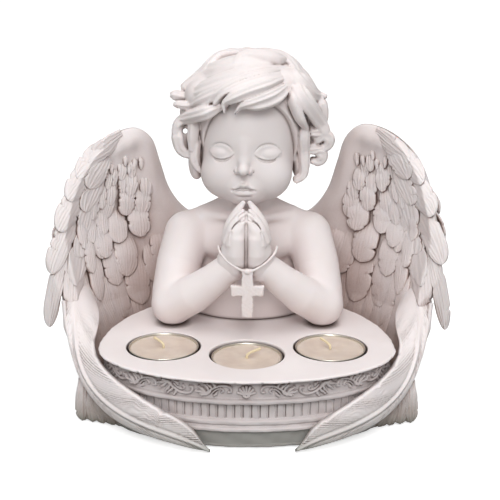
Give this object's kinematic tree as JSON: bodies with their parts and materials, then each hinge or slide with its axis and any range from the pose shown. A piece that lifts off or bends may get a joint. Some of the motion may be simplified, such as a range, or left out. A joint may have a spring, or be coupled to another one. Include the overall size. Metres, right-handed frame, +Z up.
{
  "type": "resin angel figurine",
  "caption": "Praying cherub bust with folded wings, leaning on a moulded pedestal table that holds tealights.",
  "frame": {"origin": "bottom centre of the bounding box, on the surface that the felt pad stands on", "axes": "+Z up, -Y towards the front of the figurine, where the table and its tealights are, +X to the viewer's right"},
  "size_m": [0.224, 0.1585, 0.195],
  "materials": {
    "resin": "matt white painted cast resin",
    "wax": "cream paraffin wax",
    "tealight_aluminium": "drawn bright",
    "wick_cotton": "waxed cotton braid",
    "clip_steel": "tinned sheet",
    "felt": "thin felt"
  },
  "bodies": {
    "figurine": {"pedestal": "resin", "felt_base_pad": "felt", "torso": "resin", "head": "resin", "hair": "resin", "cross_pendant": "resin", "wrist_cord": "resin", "left_wing": "resin", "left_front_feather": "resin", "left_arm": "resin", "left_hand": "resin", "right_wing": "resin", "right_front_feather": "resin", "right_arm": "resin", "right_hand": "resin"},
    "tealight_left": {"tealight_cup_left": "tealight_aluminium", "wax_left": "wax", "wick_left": "wick_cotton", "wick_clip_left": "clip_steel"},
    "tealight_middle": {"tealight_cup_middle": "tealight_aluminium", "wax_middle": "wax", "wick_middle": "wick_cotton", "wick_clip_middle": "clip_steel"},
    "tealight_right": {"tealight_cup_right": "tealight_aluminium", "wax_right": "wax", "wick_right": "wick_cotton", "wick_clip_right": "clip_steel"}
  },
  "joints": [
    {"name": "tealight_left_lift", "type": "slide", "parent": "figurine", "child": "tealight_left", "axis": [0, 0, 1], "range_m": [0, 0.032]},
    {"name": "tealight_middle_lift", "type": "slide", "parent": "figurine", "child": "tealight_middle", "axis": [0, 0, 1], "range_m": [0, 0.032]},
    {"name": "tealight_right_lift", "type": "slide", "parent": "figurine", "child": "tealight_right", "axis": [0, 0, 1], "range_m": [0, 0.032]}
  ]
}
